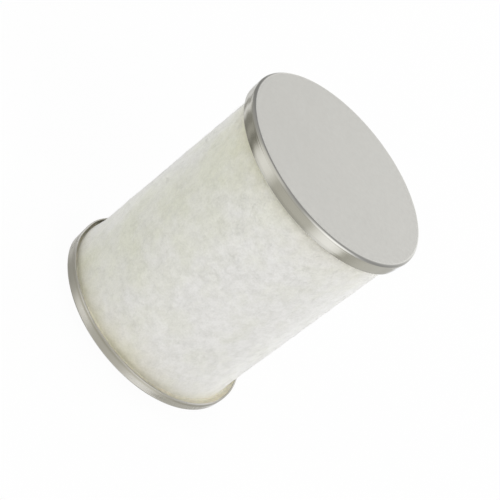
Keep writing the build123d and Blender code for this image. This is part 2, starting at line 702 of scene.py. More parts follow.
@dataclass(frozen=True)
class Resin:
    """Cast tan potting resin, with painted shade where it lies deep in the gap, fine dust and small flow
    marks.
    """

    light: Colour = (0.79, 0.755, 0.625)
    # painted shade colour for resin that lies deep in the gap between felt and rim
    gap_shade_colour: Colour = (0.42, 0.40, 0.31)
    glow_reach: Point = (1.2 * MM, 0.8 * MM, 0.4 * MM)
    flow: Grain = Grain(2.5 * MM, 3, 0.6, swirl=1.0)
    flow_depth: float = 0.08 * MM
    uneven_tan: Pair = (-0.15, 0.25)
    dust: Grain = Grain(0.3 * MM, 2, 0.6)
    dust_depth: float = 0.01 * MM
    dust_roughness: Pair = (0.32, 0.55)

    def material(self) -> bpy.types.Material:
        """Makes the finish.

        Returns:
            The material.
        """
        recipe = Recipe("tan_potting_resin")
        flow = recipe.noise(self.flow)
        dust = recipe.noise(self.dust)
        # painted shade in the gap, made uneven by the flow marks
        gap_shade = recipe.sum(recipe.attribute("gap_shade"), recipe.spread(flow, MIDDLE, self.uneven_tan))
        recipe.shade(
            Base_Color=recipe.blend(recipe.spread(gap_shade, (0, 1)), self.light, self.gap_shade_colour),
            Roughness=recipe.spread(dust, MIDDLE, self.dust_roughness),
            Subsurface_Weight=0.12,
            Subsurface_Radius=self.glow_reach,
            Normal=recipe.bump(flow, self.flow_depth, recipe.bump(dust, self.dust_depth)),
        )
        return recipe.material


@dataclass(frozen=True)
class Rubber:
    """Matt black sheet rubber with a light bloom and a fine moulded grain."""

    colour: Colour = (0.028, 0.028, 0.03)
    bloom: Colour = (0.075, 0.075, 0.074)
    clouds: Grain = Grain(4 * MM, 4, 0.6)
    bloom_range: Pair = (0.45, 0.8)
    bloom_share: Pair = (0, 0.5)
    cloud_roughness: Pair = (0.55, 0.75)
    grain: Grain = Grain(0.25 * MM, 2, 0.6)
    grain_depth: float = 0.015 * MM

    def material(self) -> bpy.types.Material:
        """Makes the finish.

        Returns:
            The material.
        """
        recipe = Recipe("black_gasket_rubber")
        clouds = recipe.noise(self.clouds)
        bloomed = recipe.spread(clouds, self.bloom_range, self.bloom_share)
        recipe.shade(
            Base_Color=recipe.blend(bloomed, self.colour, self.bloom),
            Roughness=recipe.spread(clouds, MIDDLE, self.cloud_roughness),
            Specular_IOR_Level=0.4,
            Normal=recipe.bump(recipe.noise(self.grain), self.grain_depth),
        )
        return recipe.material


@dataclass(frozen=True)
class FilterPaper:
    """Off-white microfibre sheet with a faint fibre texture and dull patches."""

    colour: Colour = (0.82, 0.81, 0.75)
    dull: Colour = (0.74, 0.72, 0.65)
    mat: Grain = Grain(0.9 * MM, 4, 0.65, swirl=0.8)
    mat_depth: float = 0.05 * MM
    strands: Grain = Grain(0.12 * MM, 2, 0.6, stretch=(1, 1, 6))
    strand_depth: float = 0.02 * MM

    def material(self) -> bpy.types.Material:
        """Makes the finish.

        Returns:
            The material.
        """
        recipe = Recipe("filter_medium_fibre")
        mat = recipe.noise(self.mat)
        strands = recipe.noise(self.strands)
        recipe.shade(
            Base_Color=recipe.blend(recipe.spread(mat, MIDDLE), self.dull, self.colour),
            Roughness=0.92,
            Specular_IOR_Level=0.15,
            Sheen_Weight=0.1,
            Normal=recipe.bump(strands, self.strand_depth, recipe.bump(mat, self.mat_depth)),
        )
        return recipe.material


def carry(piece: bpy.types.Object, name: str, values: Array) -> None:
    """Gives each point of a piece a number that its material reads."""
    layer = piece.data.attributes.new(name, "FLOAT", "POINT")
    layer.data.foreach_set("value", np.asarray(values, np.float32).ravel())


def settle(piece: bpy.types.Object, slot: Slot, material: bpy.types.Material,
           *nodes: str) -> bpy.types.Object:
    """Dresses a piece, hangs it on the root body and hides the CAD nodes that it replaces.

    Args:
        piece: The new piece.
        slot: Not used.
        material: The finish.
        *nodes: CAD nodes that it replaces.

    Returns:
        The same piece.
    """
    piece.data.materials.append(material)
    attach(piece, "root")
    if nodes:
        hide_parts(*nodes)
    log.info("%s: %d faces", piece.name, len(piece.data.polygons))
    return piece


@dataclass(frozen=True)
class Sheet:
    """The thin stainless sheet of a drawn cap, and the shape of its rim."""

    thickness: float = 0.45 * MM
    corner: float = 0.9 * MM
    barrel: float = 0.05 * MM
    curl: float = 0.055 * MM
    curl_span: Pair = (0.62, 1.1)
    crease: float = 0.03 * MM
    crease_depth: float = 1.0 * MM
    crease_width: float = 0.12 * MM
    edge: float = 0.12 * MM
    groove: float = 0.0
    groove_inset: float = 0.55 * MM
    groove_width: float = 0.1 * MM
    edge_band: float = 1.1 * MM
    bend_points: int = 15
    wall_points: int = 28
    edge_points: int = 5
    inner_bend_points: int = 6
    inner_stride: int = 3

    def wall(self, outside: float, rim: float, depth: Array) -> Array:
        """Outer radius of the rim at a depth below the cap's face.

        The wall draws in by the barrel as (2t - 1)^2 of the way t down it, which a smooth step fades out
        above its middle. It turns in by the curl over the last part of the way, and has one fine crease
        where the bend ends. A groove may run round near the free edge. The crease and the groove fall off
        as exp(-d^2) with the distance d from them.

        Args:
            outside: Radius of the cap.
            rim: Height of the rim, from the face to its free edge.
            depth: Depths below the face.

        Returns:
            A radius for each depth.
        """
        way = (depth - self.corner) / (rim - self.corner)
        belly = self.barrel * (2 * way - 1) ** 2 * smooth_step(0, 0.5, way)
        turn_in = self.curl * smooth_step(*self.curl_span, way)
        crease = self.crease * np.exp(-((depth - self.crease_depth) / self.crease_width) ** 2)
        groove = self.groove * np.exp(-((depth - rim + self.groove_inset) / self.groove_width) ** 2)
        return outside - belly - turn_in - crease - groove

    def rim_profile(self, outside: float, rim: float) -> Array:
        """The section of the rim, from the flat of the outer face round the free edge to the inner face.

        Its rows lie closer in a band at the free edge, and its inner side has one row for every few of
        the outer side.

        Args:
            outside: Radius of the cap.
            rim: Height of the rim.

        Returns:
            (radius, depth) pairs, with depth measured from the cap's outer face towards the wraps.
        """
        middle = outside - self.corner
        outer_bend = arc(middle, self.corner, self.corner, -90, 0, self.bend_points)
        lowest = rim - self.edge
        near_edge = np.linspace(lowest - self.edge_band, lowest, self.wall_points)
        depth = np.concatenate([np.linspace(self.corner, near_edge[0], self.wall_points)[1:-1], near_edge])
        wall = np.stack([self.wall(outside, rim, depth), depth], -1)
        lip = wall[-1, 0] - self.edge
        outer_edge = arc(lip, lowest, self.edge, 0, 90, self.edge_points)[1:]
        inner_edge = arc(lip - self.thickness + 2 * self.edge, lowest, self.edge, 90, 180, self.edge_points)
        back = depth[::-self.inner_stride][1:]
        inner_wall = np.stack([self.wall(outside, rim, back) - self.thickness, back], -1)
        inner_wall = inner_wall[inner_wall[:, 1] > self.corner]
        inner_bend = arc(middle, self.corner, self.corner - self.thickness, 0, -90, self.inner_bend_points)
        return np.concatenate([outer_bend, wall, outer_edge, inner_edge, inner_wall, inner_bend])


# Where the open cap's rim is out of true, which its resin follows, and where the felt's foot is fuller
OPEN_CAP_BULGES = (
    Bulge(-60, 60, 0.22 * MM),
    Bulge(38, 25, -0.12 * MM),
    Bulge(106, 13, -0.45 * MM),
    Bulge(83, 9, -0.35 * MM, 1.6),
)
FOOT_SWELL = 0.3 * MM
FOOT_BULGE = Bulge(88, 24, 0.4 * MM)


def foot_swell(azimuth: Array) -> Array:
    """How much fuller the felt is at its foot, where resin has soaked it, and most at one side."""
    return FOOT_SWELL + FOOT_BULGE.at(azimuth)


@dataclass
class DrawnCaps:
    """Both end caps, drawn from the same sheet: a blank cup, and a dish with a mouth."""

    sheet: Sheet = Sheet()
    grooved: Sheet = Sheet(groove=0.05 * MM, edge=0.07 * MM)
    sag: Bulge = Bulge(-50, 45, 0.25 * MM)
    turns: int = 288
    face_points: int = 40
    ring_face_points: int = 18
    collar_points: int = 14
    bore_points: int = 18
    mouth_edge_points: int = 4
    mouth_bend_points: int = 13
    closed_seed: int = 11
    open_seed: int = 12
    rim_burnish: float = 0.7
    mouth_burnish: float = 1.5
    waves: tuple[int, ...] = tuple(range(2, 10))
    wave_fall: float = 0.8
    waver: float = 0.022 * MM
    rim_band: float = 2 * MM
    dish: float = 0.02 * MM
    dish_fade: Pair = (1.5 * MM, 5 * MM)
    dip_pitch: float = 9 * MM
    ring_inset: float = 2.3 * MM
    ring_width: float = 0.5 * MM
    ring_depth: float = 0.012 * MM
    film_way: float = 0.82
    film_width: float = 0.1
    film_share: float = 0.85
    film_gap: Bulge = Bulge(62, 24, -0.65)
    # the patch at 101 degrees is painted shade on the free edge beside the shaded gap
    film_and_shade_patches: tuple[Bulge, ...] = (Bulge(101, 12, 1.0), Bulge(-32, 12, 0.4), Bulge(-90, 14, 0.9))
    patch_rise: Pair = (0.8, 0.98)
    dull_patches: tuple[Bulge, ...] = (Bulge(45, 13, 0.85), Bulge(2, 13, 0.5))
    closed_finish: Stainless = Stainless("cap_sheet")
    open_finish: Stainless = Stainless("mouth_cap_sheet", (0.635, 0.625, 0.61), burnished=0.27, film_and_shade="film_and_shade")

    def __post_init__(self) -> None:
        """Finds the element's middle height, which both faces dish towards."""
        low, high = CAD_BOX
        self.middle = (low.z + high.z) / 2

    def relief(self, outside: float, face: float, seed: int, bulges: Sequence[Bulge] = (),
               sag: Bulge = Bulge(0, 1, 0)) -> Relief:
        """The small errors of a pressed part.

        The radius of the rim wavers by a few hundredths of a millimetre as a sum of slow waves round the
        axis, each of which is smaller by a power of its number. The flat face dips and rises by soft
        random relief that dies out at the bend, and has a trace of the punch's edge: a ring whose depth
        falls off as exp(-d^2) with the distance d from it.

        Args:
            outside: Radius of the cap.
            face: Height of its outer face.
            seed: Picks the waves.
            bulges: Where the rim is pushed out or in.
            sag: Where the rim is less high.

        Returns:
            The relief, for arrays of azimuth, radius and height.
        """
        draw = np.random.default_rng(seed)
        waves = np.array(self.waves)
        phases = draw.uniform(0, TURN, len(waves))
        sizes = self.waver / waves ** self.wave_fall
        near, far = self.dish_fade

        def moved(azimuth: Array, radius: Array, height: Array) -> tuple[Array, Array]:
            """Applies the waver and the dips.

            Args:
                azimuth: Azimuths of the points.
                radius: Their radii.
                height: Their heights.

            Returns:
                The moved radii and heights.
            """
            waver = (sizes * np.cos(waves * azimuth[..., None] + phases)).sum(-1)
            at_rim = smooth_step(outside - self.rim_band, outside, radius + 0 * azimuth)
            at_depth = smooth_step(0, OPEN_RIM, np.abs(height - face) + 0 * azimuth)
            inside_flat = smooth_step(outside - near, outside - far, radius + 0 * azimuth)
            dips = Clouds(self.dip_pitch, seed).at(round_axis(azimuth, radius, 0 * height))
            ring = np.exp(-((radius - outside + self.ring_inset) / self.ring_width) ** 2)
            inwards = self.dish * (1 + dips) * inside_flat + self.ring_depth * ring
            inwards = inwards - sag.at(azimuth) * at_rim * at_depth
            pushed = sum(bulge.on_rim(azimuth, at_depth) for bulge in bulges) * at_rim
            radius = radius - waver * at_rim * at_depth + pushed
            return radius, height + inwards * np.sign(self.middle - face)

        return moved

    def burnished(self, outside: float, radius: Array, has_mouth: bool) -> Array:
        """How far the sheet is burnished: not at all on the flats, wholly at the bend, rim and collar.

        Args:
            outside: Radius of the cap.
            radius: Radii of the points.
            has_mouth: Whether the cap has a collar.

        Returns:
            The burnish at each point, from 0 to 1.
        """
        corner = self.sheet.corner
        at_rim = smooth_step(outside - corner, outside - self.rim_burnish * corner, radius)
        at_mouth = 1 - smooth_step(BORE + corner, BORE + self.mouth_burnish * corner, radius)
        return np.maximum(at_rim, at_mouth * has_mouth)

    def filmed_and_shaded(self, azimuth: Array, way: Array) -> Array:
        """How far a film of resin dulls and tints the open cap's rim, with painted shade on one patch of its
        free edge.

        It is a line round the rim, which fades as exp(-d^2) with the distance d from it and is faint over
        the gap, with patches that cover the free edge. The patch at 101 degrees is painted shade, where the
        free edge meets the shaded gap between felt and rim.

        Args:
            azimuth: Azimuths of the points.
            way: How far up the rim they are, from 0 at the face to 1 at the free edge.

        Returns:
            The film and painted shade at each point, from 0 to 1.
        """
        share = self.film_share + self.film_gap.at(azimuth)
        band = share * np.exp(-((way - self.film_way) / self.film_width) ** 2)
        patches = sum(patch.at(azimuth) for patch in self.film_and_shade_patches)
        return np.clip(band + patches * smooth_step(*self.patch_rise, way), 0, 1)

    def faces(self, radii: Array) -> tuple[Array, Array]:
        """The sections of a cap's two flats.

        Args:
            radii: Radii of their points, from the middle outwards.

        Returns:
            (radius, depth) pairs of the outer face, outwards, and of the inner face, inwards.
        """
        outer = np.stack([radii, 0 * radii], -1)
        inner = np.stack([radii[::-1], 0 * radii + self.sheet.thickness], -1)
        return outer, inner

    def closed(self) -> bpy.types.Object:
        """Makes the blank cup.

        Returns:
            The new piece.
        """
        extent = Extent.of("closed_end_cap")
        radii = np.linspace(0, extent.radius - self.sheet.corner, self.face_points, endpoint=False)
        outer, inner = self.faces(radii)
        rim = self.sheet.rim_profile(extent.radius, extent.top - extent.foot)
        profile = np.concatenate([outer, rim, inner])
        profile[:, 1] = extent.top + End.CLOSED.value * profile[:, 1]
        shell = turned(profile, self.turns, self.relief(extent.radius, extent.top, self.closed_seed))
        piece = shell.made("blank_end_cap")
        radius = np.hypot(*shell.points[:, :2].T)
        carry(piece, "drawn", self.burnished(extent.radius, radius, False))
        return settle(piece, Slot.CAP, self.closed_finish.material(), "closed_end_cap")

    def mouth_profile(self) -> Array:
        """The section of the mouth, from the inner face up the collar and down its bore to the outer face.

        Returns:
            (radius, depth) pairs, with depth measured from the cap's outer face towards the wraps.
        """
        thickness, corner, edge = self.sheet.thickness, self.sheet.corner, self.sheet.edge
        middle, outside, lip = BORE + corner, BORE + thickness, COLLAR - edge
        inner_bend = arc(middle, corner, corner - thickness, -90, -180, self.sheet.inner_bend_points)
        outside_wall = line((outside, corner), (outside, lip), self.collar_points)
        outer_edge = arc(outside - edge, lip, edge, 0, 90, self.mouth_edge_points)
        inner_edge = arc(BORE + edge, lip, edge, 90, 180, self.mouth_edge_points)
        bore_wall = line((BORE, lip), (BORE, corner), self.bore_points)[1:]
        outer_bend = arc(middle, corner, corner, 180, 270, self.mouth_bend_points)
        return np.concatenate([inner_bend, outside_wall[1:], outer_edge, inner_edge, bore_wall, outer_bend])

    def open(self) -> bpy.types.Object:
        """Makes the dish with its mouth.

        Returns:
            The new piece.
        """
        extent = Extent.of("open_end_cap")
        radii = np.linspace(BORE + self.sheet.corner, extent.radius - self.sheet.corner,
                            self.ring_face_points)[1:-1]
        outer, inner = self.faces(radii)
        rim = self.grooved.rim_profile(extent.radius, OPEN_RIM)
        profile = np.concatenate([outer, rim, inner, self.mouth_profile()])
        profile[:, 1] = extent.foot + End.OPEN.value * profile[:, 1]
        relief = self.relief(extent.radius, extent.foot, self.open_seed, OPEN_CAP_BULGES, self.sag)
        shell = turned(profile, self.turns, relief)
        piece = shell.made("open_end_cap_drawn")
        x, y, z = shell.points.T
        radius, azimuth = np.hypot(x, y), np.arctan2(-x, -y)
        way = (z - extent.foot) / (OPEN_RIM - self.sag.at(azimuth))
        on_rim = radius > extent.radius - self.rim_band
        dull = sum(patch.at(azimuth) for patch in self.dull_patches) * on_rim
        carry(piece, "drawn", self.burnished(extent.radius, radius, True) * (1 - dull))
        # resin film on the rim, and painted shade on one patch of its free edge
        carry(piece, "film_and_shade", self.filmed_and_shaded(azimuth, way) * on_rim)
        return settle(piece, Slot.CAP, self.open_finish.material(), "open_end_cap")


@dataclass
class Gasket:
    """The flat rubber ring round the mouth, with its cut edges slightly rounded."""

    width: float = 6.0 * MM
    edge: float = 0.25 * MM
    edge_points: int = 5
    face_points: int = 8
    turns: int = 256

    def build(self) -> bpy.types.Object:
        """Makes the ring: a square section with small round corners, carried round the axis.

        Returns:
            The new piece.
        """
        extent = Extent.of("gasket")
        low, high = extent.foot + self.edge, extent.top - self.edge
        near, far = extent.radius - self.width + self.edge, extent.radius - self.edge
        profile = np.concatenate([
            arc(far, low, self.edge, -90, 0, self.edge_points),
            arc(far, high, self.edge, 0, 90, self.edge_points),
            line((far, extent.top), (near, extent.top), self.face_points)[1:],
            arc(near, high, self.edge, 90, 180, self.edge_points),
            arc(near, low, self.edge, 180, 270, self.edge_points),
            line((near, extent.foot), (far, extent.foot), self.face_points)[1:],
        ])
        piece = turned(profile, self.turns, unmoved).made("flat_gasket")
        return settle(piece, Slot.RUBBER, Rubber().material(), "gasket")


@dataclass(frozen=True)
class RandomLength:
    """A random length: at least the least, and more by a gamma draw of the given shape and scale."""

    shape: float
    scale: float
    least: float

    def drawn(self, draw: np.random.Generator, size: tuple[int, ...]) -> Array:
        """An array of such lengths."""
        return draw.gamma(self.shape, self.scale, size) + self.least


@dataclass
class FeltSleeve:
    """The felt wrap, with its relief, its butt seam at the back, its loose fibres and its tan ends."""

    thickness: float = 3.0 * MM
    columns: int = 480
    rows: int = 176
    end_rows: int = 4
    inner_rows: int = 16
    sharp: float = 80.0
    lumps: tuple[tuple[Clouds, float], ...] = (
        (Clouds(7 * MM, 21), 0.07 * MM),
        (Clouds(2.4 * MM, 22), 0.06 * MM),
        (Clouds(0.9 * MM, 23), 0.045 * MM),
    )
    lump_sink: float = 0.3
    seam_azimuth: float = math.pi
    seam_width: float = 0.22 * MM
    seam_depth: float = 0.35 * MM
    seam_waves: tuple[Pair, ...] = ((9 * MM, 0.3 * MM), (2.3 * MM, 0.12 * MM))
    taper: float = 0.18 * MM
    taper_limits: Pair = (-1, 0.85)
    swell_reach: float = 2.6 * MM
    soak_reach: float = 3.6 * MM
    soak_spread: Pair = (0.6, 0.55)
    soak_share: float = 0.47
    soaks: tuple[Bulge, ...] = (
        Bulge(-80, 14, 0.6), Bulge(-55, 14, -0.12), Bulge(-14, 22, 0.45), Bulge(14, 20, 0.15),
        Bulge(47, 12, 0.1), Bulge(150, 26, 0.4), Bulge(-125, 20, 0.3), Bulge(-165, 12, 0.2),
    )
    closed_soak_share: float = 0.7
    closed_soak: Bulge = Bulge(52, 22, 0.45)
    frays: tuple[tuple[Clouds, float], ...] = ((Clouds(3.0 * MM, 31), 0.35), (Clouds(1.0 * MM, 32), 0.2))
    # painted greenish shade on the dim side, away from the key lamp, uneven with soft random relief
    dim_side: Bulge = Bulge(48, 36, 1.0)
    dim_side_mean: float = 0.8
    dim_side_share: float = 0.25
    dim_side_patches: Clouds = Clouds(6 * MM, 33)
    fibres: int = 5200
    fibre_radius: float = 0.014 * MM
    fibre_steps: int = 5
    fibre_length: RandomLength = RandomLength(4.0, 0.55 * MM, 0.6 * MM)
    fibre_bend: float = 0.9
    fibre_stand: RandomLength = RandomLength(2.0, 0.045 * MM, 0.02 * MM)
    fibre_sink: float = 0.7
    fibre_seed: int = 41
    fibre_sharp: float = 180.0
    fibre_inset: float = 1 * MM
    fibre_ceiling: float = 3 * MM

    def __post_init__(self) -> None:
        """Reads the sleeve's extent and the caps' edges from the frame."""
        self.extent = Extent.of("felt_sleeve")
        self.inside = self.extent.radius - self.thickness
        self.open_edge = Extent.of("open_end_cap").foot + OPEN_RIM
        self.closed_edge = Extent.of("closed_end_cap").foot
        self.middle = (self.extent.foot + self.extent.top) / 2
        self.lump_size = sum(size for _, size in self.lumps)

    def seam_line(self, height: Array) -> Array:
        """Azimuth of the butt seam at a height: a straight line that wanders as a sum of sine waves."""
        wander = sum(size * np.sin(height / length) for length, size in self.seam_waves)
        return self.seam_azimuth + wander / self.extent.radius

    def fullness(self, height: Array) -> Array:
        """How much fuller the wrap is at a height than at its middle."""
        way = (height - self.middle) / (self.extent.top - self.middle)
        return self.taper * np.clip(way, *self.taper_limits)

    def moved(self, azimuth: Array, radius: Array, height: Array) -> tuple[Array, Array]:
        """The relief of the felt's outer side.

        Soft random relief of three sizes, less a share of its full size, is added to the radius. A groove
        runs along the seam, whose depth falls off as exp(-d^2) with the distance d from it. The wrap is a
        little fuller towards its top, in step with the height from its middle, and its foot swells out, by
        exp(-h) of the height h above the cap's edge, counted in reaches.

        Args:
            azimuth: Azimuths of the points.
            radius: Their radii.
            height: Their heights.

        Returns:
            The moved radii and heights.
        """
        outer = radius > self.extent.radius - self.thickness / 4
        places = round_axis(azimuth, radius, height)
        lift = sum(size * lumps.at(places) for lumps, size in self.lumps)
        away = (azimuth - self.seam_line(height)) * self.extent.radius / self.seam_width
        sunk = self.lump_sink * self.lump_size + self.seam_depth * np.exp(-away ** 2)
        swell = foot_swell(azimuth) * np.exp(-np.maximum(height - self.open_edge, 0) / self.swell_reach)
        return radius + outer * (lift - sunk + self.fullness(height) + swell), height + 0 * azimuth

    def soaked(self, azimuth: Array, height: Array, places: Array) -> Array:
        """How deep the felt is stained at a place.

        From either cap's edge the stain fades as exp(-h) with the distance h along the felt, counted in
        reaches. It is stronger and reaches further at each of the soaks, and soft random relief frays it.

        Args:
            azimuth: Azimuths of the points.
            height: Their heights.
            places: The points themselves.

        Returns:
            The stain at each point, from 0.
        """
        open_share = self.soak_share + sum(soak.at(azimuth) for soak in self.soaks)
        closed_share = self.closed_soak_share + self.closed_soak.at(azimuth)
        fraying = 1 + sum(share * clouds.at(places) for clouds, share in self.frays)
        stain = np.zeros(height.shape)
        least, gain = self.soak_spread
        for share, away in ((open_share, height - self.open_edge), (closed_share, self.closed_edge - height)):
            reach = self.soak_reach * (least + gain * share) * fraying
            stain += share * np.exp(-np.maximum(away, 0) / reach)
        return stain

    def dim_side_shade(self, azimuth: Array, places: Array) -> Array:
        """How much painted greenish shade the felt gets: most at one place round it, on its dim side, uneven
        with soft random relief.
        """
        uneven = self.dim_side_mean + self.dim_side_share * self.dim_side_patches.at(places)
        return np.clip(self.dim_side.at(azimuth) * uneven, 0, 1)

    def profile(self) -> Array:
        """The sleeve's section, with close rows on its outer side and few on its inner side.

        Returns:
            (radius, height) pairs.
        """
        foot, top, radius = self.extent.foot, self.extent.top, self.extent.radius
        return np.concatenate([
            line((radius, foot), (radius, top), self.rows),
            line((radius, top), (self.inside, top), self.end_rows),
            line((self.inside, top), (self.inside, foot), self.inner_rows),
            line((self.inside, foot), (radius, foot), self.end_rows),
        ])

    def build_sleeve(self) -> bpy.types.Object:
        """Makes the felt itself.

        Returns:
            The new piece.
        """
        shell = turned(self.profile(), self.columns, self.moved)
        piece = shell.made("felt_wrap", self.sharp)
        x, y, z = shell.points.T
        azimuth = np.arctan2(-x, -y)
        carry(piece, "soaked", self.soaked(azimuth, z, shell.points))
        # painted greenish shade on the felt's dim side
        carry(piece, "dim_side_shade", self.dim_side_shade(azimuth, shell.points))
        return settle(piece, Slot.FELT, Felt().material(), "felt_sleeve")

    def fibre_spines(self) -> tuple[Array, Array]:
        """Points along every loose fibre, and the outward direction at each.

        Each fibre is a bent line on the sleeve: along it the way runs from -1/2 to 1/2 of its length, its
        sideways bend grows with the square of the way, and it stands off the felt as 1 - (2 way)^2.

        Returns:
            Two arrays of fibres, points along the fibre, and (x, y, z).
        """
        draw = np.random.default_rng(self.fibre_seed)
        column = (self.fibres, 1)
        way = np.linspace(-0.5, 0.5, self.fibre_steps + 1)[None, :]
        start = draw.uniform(-math.pi, math.pi, column)
        middle = draw.uniform(self.open_edge + self.fibre_inset, self.closed_edge - self.fibre_inset, column)
        length = self.fibre_length.drawn(draw, column)
        heading = draw.uniform(0, TURN, column)
        bend = draw.normal(0, self.fibre_bend, column)
        stand = self.fibre_stand.drawn(draw, column)
        across = length * (way * np.cos(heading) - bend * way ** 2 * np.sin(heading))
        along = length * (way * np.sin(heading) + bend * way ** 2 * np.cos(heading))
        felt = self.extent.radius - self.fibre_sink * self.lump_size + self.fullness(middle)
        radius = felt + stand * (1 - (2 * way) ** 2)
        azimuth = start + across / radius
        height = np.clip(middle + along, self.open_edge, self.extent.top - self.fibre_ceiling)
        return round_axis(azimuth, radius, height), round_axis(azimuth, 1.0, 0.0)

    def build_fibres(self) -> bpy.types.Object:
        """Makes the loose fibres: three points round each point of a fibre's spine make a thin tube.

        Returns:
            All of them as one piece.
        """
        spine, outward = self.fibre_spines()
        ahead = np.gradient(spine, axis=1)
        ahead /= np.linalg.norm(ahead, axis=-1, keepdims=True)
        side = np.cross(ahead, outward)
        side /= np.linalg.norm(side, axis=-1, keepdims=True)
        lift = np.cross(side, ahead)
        turn = np.radians([90, 210, 330])[:, None]
        offset = np.cos(turn) * side[:, :, None] + np.sin(turn) * lift[:, :, None]
        points = spine[:, :, None] + self.fibre_radius * offset
        count, steps, sides = points.shape[:3]
        first = (np.arange(count) * steps * sides)[:, None, None]
        quads = grid_faces(steps, sides, False, True) + first
        last = (steps - 1) * sides
        triangles = np.array([[2, 1, 0], [last, last + 1, last + 2]]) + first
        shell = Shell(points.reshape(-1, 3), quads.reshape(-1, 4), triangles.reshape(-1, 3))
        piece = shell.outward().made("loose_fibres", self.fibre_sharp)
        return settle(piece, Slot.FELT, LooseFibre().material())

    def build(self) -> bpy.types.Object:
        """Returns:
            The sleeve.
        """
        sleeve = self.build_sleeve()
        fibres = self.build_fibres()
        return sleeve


@dataclass
class Potting:
    """The resin in both caps, with a hollow fillet between felt and rim whose level varies round the rim."""

    sheet: Sheet = Sheet()
    floor: float = 0.8 * MM
    lip: float = 2.4 * MM
    creep: float = 0.35 * MM
    creep_mean: float = 0.35
    soaked_in: float = 0.4 * MM
    levels: tuple[Bulge, ...] = (Bulge(-80, 40, 1.0), Bulge(17, 16, 0.9), Bulge(99, 15, -0.7))
    by_felt: float = 0.55
    ripple_pitch: float = 3.2 * MM
    ripple_share: float = 0.2
    # depths, about the lip, over which the painted shade in the gap fades out
    gap_shade_range: Pair = (-1.0 * MM, 0.9 * MM)
    turns: int = 360
    sharp: float = 50.0
    fillet_points: int = 11
    bend_points: int = 5
    wall_points: int = 4
    ring_under_points: int = 12
    ring_over_points: int = 10
    disc_points: int = 16
    mouth_gap: float = 0.3 * MM
    open_uneven: float = 0.75 * MM
    open_seed: int = 51
    closed_uneven: float = 0.2 * MM
    closed_seed: int = 52

    def __post_init__(self) -> None:
        """Reads the gap between felt and rim from the frame."""
        self.felt = Extent.of("felt_sleeve").radius - self.soaked_in
        self.rim = Extent.of("open_end_cap").radius - self.sheet.thickness
        self.mouth = BORE + self.sheet.thickness
        self.flat_end = self.rim + self.sheet.thickness - self.sheet.corner
        self.foot = self.sheet.thickness + self.floor

    def lip_profile(self) -> Array:
        """The section from the cap's inner face up the rim, across the hollow fillet and down the felt.

        The fillet's surface is lowest in the middle of the gap and rises as the square of the way to
        either wall by the creep.

        Returns:
            (radius, depth) pairs, with depth measured from the cap's outer face towards the wraps.
        """
        corner = self.sheet.corner
        bend = arc(self.flat_end, corner, corner - self.sheet.thickness, -90, 0, self.bend_points)
        wall = line((self.rim, corner), (self.rim, self.lip), self.wall_points)[1:]
        way = np.linspace(1, -1, self.fillet_points)
        middle, half = (self.rim + self.felt) / 2, (self.rim - self.felt) / 2
        fillet = np.stack([middle + way * half, self.lip + self.creep * (way ** 2 - self.creep_mean)], -1)
        down = line((self.felt, self.lip), (self.felt, self.foot), self.wall_points)[1:]
        return np.concatenate([bend, wall, fillet, down, [[self.felt, self.foot]]])

    def level(self, azimuth: Array, uneven: float, seed: int) -> Array:
        """How far the resin stands above its mean level: the sum of the levels and soft random ripples."""
        ripples = Clouds(self.ripple_pitch, seed).at(round_axis(azimuth, self.rim, 0.0))
        return uneven * (sum(level.at(azimuth) for level in self.levels) + self.ripple_share * ripples)

    def relief(self, face: float, end: End, uneven: float, seed: int,
               bulges: Sequence[Bulge] = ()) -> Relief:
        """Raises the points of the lip with the resin's level, by how far up the lip they are.

        The level varies less beside the felt than at the rim. At the rim the resin follows the cap's
        bulges, and in the open cap it follows the swell of the felt's foot on the other side.

        Args:
            face: Height of the cap's outer face.
            end: The end of the element.
            uneven: How much the level varies.
            seed: Picks the ripples.
            bulges: Where the rim is pushed out or in.

        Returns:
            The relief, for arrays of azimuth, radius and height.
        """
        swells = float(end is End.OPEN)

        def moved(azimuth: Array, radius: Array, height: Array) -> tuple[Array, Array]:
            """Applies the level.

            Args:
                azimuth: Azimuths of the points.
                radius: Their radii.
                height: Their heights.

            Returns:
                The moved radii and heights.
            """
            depth = (height - face) * end.value
            share = smooth_step(self.foot, self.lip - self.creep / 2, depth) * (radius > self.felt - MM)
            across = smooth_step(self.felt, self.rim, radius)
            way = smooth_step(0, OPEN_RIM, depth)
            by_rim = sum(bulge.on_rim(azimuth, way) for bulge in bulges) * across
            by_felt = swells * foot_swell(azimuth) * (1 - across) * share
            tilt = self.by_felt + (1 - self.by_felt) * across
            height = height + end.value * share * tilt * self.level(azimuth, uneven, seed)
            return radius + by_rim + by_felt + 0 * azimuth, height

        return moved

    def made(self, name: str, node: str, face: float, end: End, profile: Array,
             relief: Relief) -> bpy.types.Object:
        """Makes the resin at one end, and paints shade where it lies deep in the gap.

        Args:
            name: Name of the piece.
            node: CAD node that it replaces.
            face: Height of the cap's outer face.
            end: The end of the element.
            profile: (radius, depth) pairs, with depth measured from that face towards the wraps.
            relief: How the resin stands off the profile.

        Returns:
            The new piece.
        """
        profile = np.stack([profile[:, 0], face + end.value * profile[:, 1]], -1)
        shell = turned(profile, self.turns, relief)
        piece = shell.made(name, self.sharp)
        depth = (shell.points[:, 2] - face) * end.value
        low, high = self.gap_shade_range
        # painted shade: the resin is darker the lower it lies in the gap
        carry(piece, "gap_shade", 1 - smooth_step(self.lip + low, self.lip + high, depth))
        return settle(piece, Slot.RESIN, Resin().material(), node)

